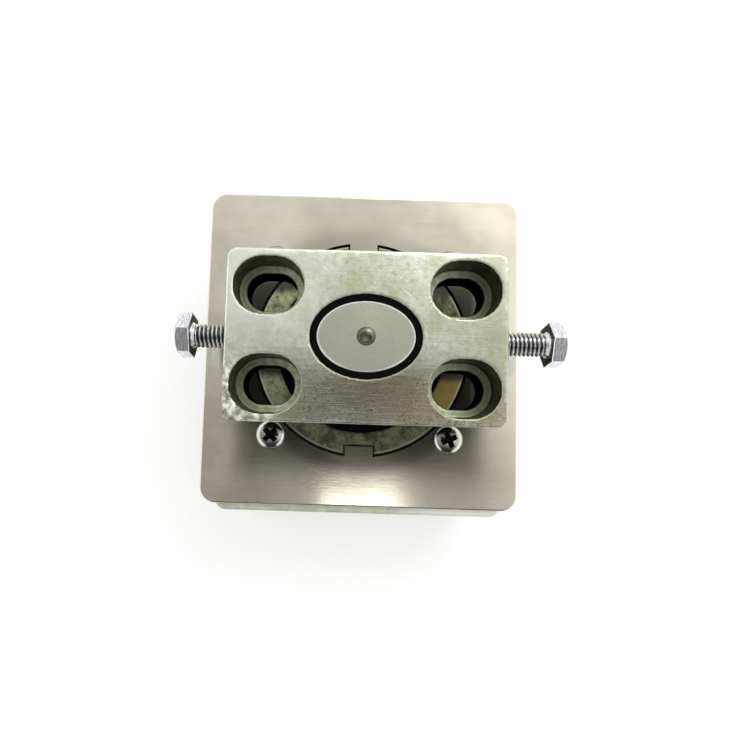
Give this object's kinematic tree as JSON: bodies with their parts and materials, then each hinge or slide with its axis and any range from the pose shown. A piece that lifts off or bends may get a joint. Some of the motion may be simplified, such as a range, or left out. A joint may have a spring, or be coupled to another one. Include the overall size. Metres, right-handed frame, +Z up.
{
  "type": "floor pivot hinge",
  "caption": "Floor pivot hinge: a casting with a square cover plate and roller bearing carries an oval spindle; a slotted door block with end adjusting bolts drops over the spindle.",
  "frame": {"origin": "on the pivot axis, on the underside of the casting", "axes": "+Z up along the pivot axis, +X along the long side of the door block, -Y to the front, where the casting stands proud of the cover plate"},
  "size_m": [0.0911, 0.087, 0.0573],
  "materials": {
    "cast_zinc": "greenish zinc plate on a casting",
    "brushed_stainless": "straight brushed, warm grey",
    "screw_stainless": "bright stainless",
    "olive_passivate": "olive passivated turning",
    "bearing_steel": "ground bearing steel",
    "cage_steel": "pressed sheet steel",
    "bush_bronze": "oiled bronze",
    "black_rubber": "matt black nitrile",
    "spring_steel": "oiled spring steel",
    "spindle_steel": "sand grey, fine turned and blasted",
    "block_zinc": "greenish white zinc plate, scratched",
    "black_nylon": "matt black nylon",
    "bright_zinc": "bright zinc with a faint blue tint"
  },
  "bodies": {
    "base": {"base_casting": "cast_zinc", "cover_plate": "brushed_stainless", "cover_screws": "screw_stainless", "gland_ring": "olive_passivate", "bearing_cup": "bearing_steel", "lower_bush": "bush_bronze", "seal_case": "cage_steel", "seal_lip": "black_rubber", "garter_spring": "spring_steel"},
    "spindle": {"spindle": "spindle_steel", "bearing_cone": "bearing_steel", "cone_circlip": "spring_steel"},
    "roller_set": {"bearing_rollers": "bearing_steel", "bearing_cage": "cage_steel"},
    "door_block": {"door_block": "block_zinc", "spindle_liner": "black_nylon"},
    "left_bolt": {"left_adjusting_bolt": "bright_zinc"},
    "right_bolt": {"right_adjusting_bolt": "bright_zinc"}
  },
  "joints": [
    {"name": "spindle_turn", "type": "hinge", "parent": "base", "child": "spindle", "pos_m": [0, 0, 0.0195], "axis": [0, 0, 1], "continuous": true},
    {"name": "roller_turn", "type": "hinge", "parent": "base", "child": "roller_set", "pos_m": [0, 0, 0.0195], "axis": [0, 0, 1], "continuous": true},
    {"name": "block_lift", "type": "slide", "parent": "spindle", "child": "door_block", "axis": [0, 0, 1], "range_m": [0, 0.022]},
    {"name": "left_bolt_travel", "type": "slide", "parent": "door_block", "child": "left_bolt", "axis": [-1, 0, 0], "range_m": [-0.005, 0.006]},
    {"name": "right_bolt_travel", "type": "slide", "parent": "door_block", "child": "right_bolt", "axis": [1, 0, 0], "range_m": [-0.0075, 0.0037]}
  ],
  "couplings": [
    {"joint": "roller_turn", "follows": "spindle_turn", "ratio": 0.412}
  ]
}
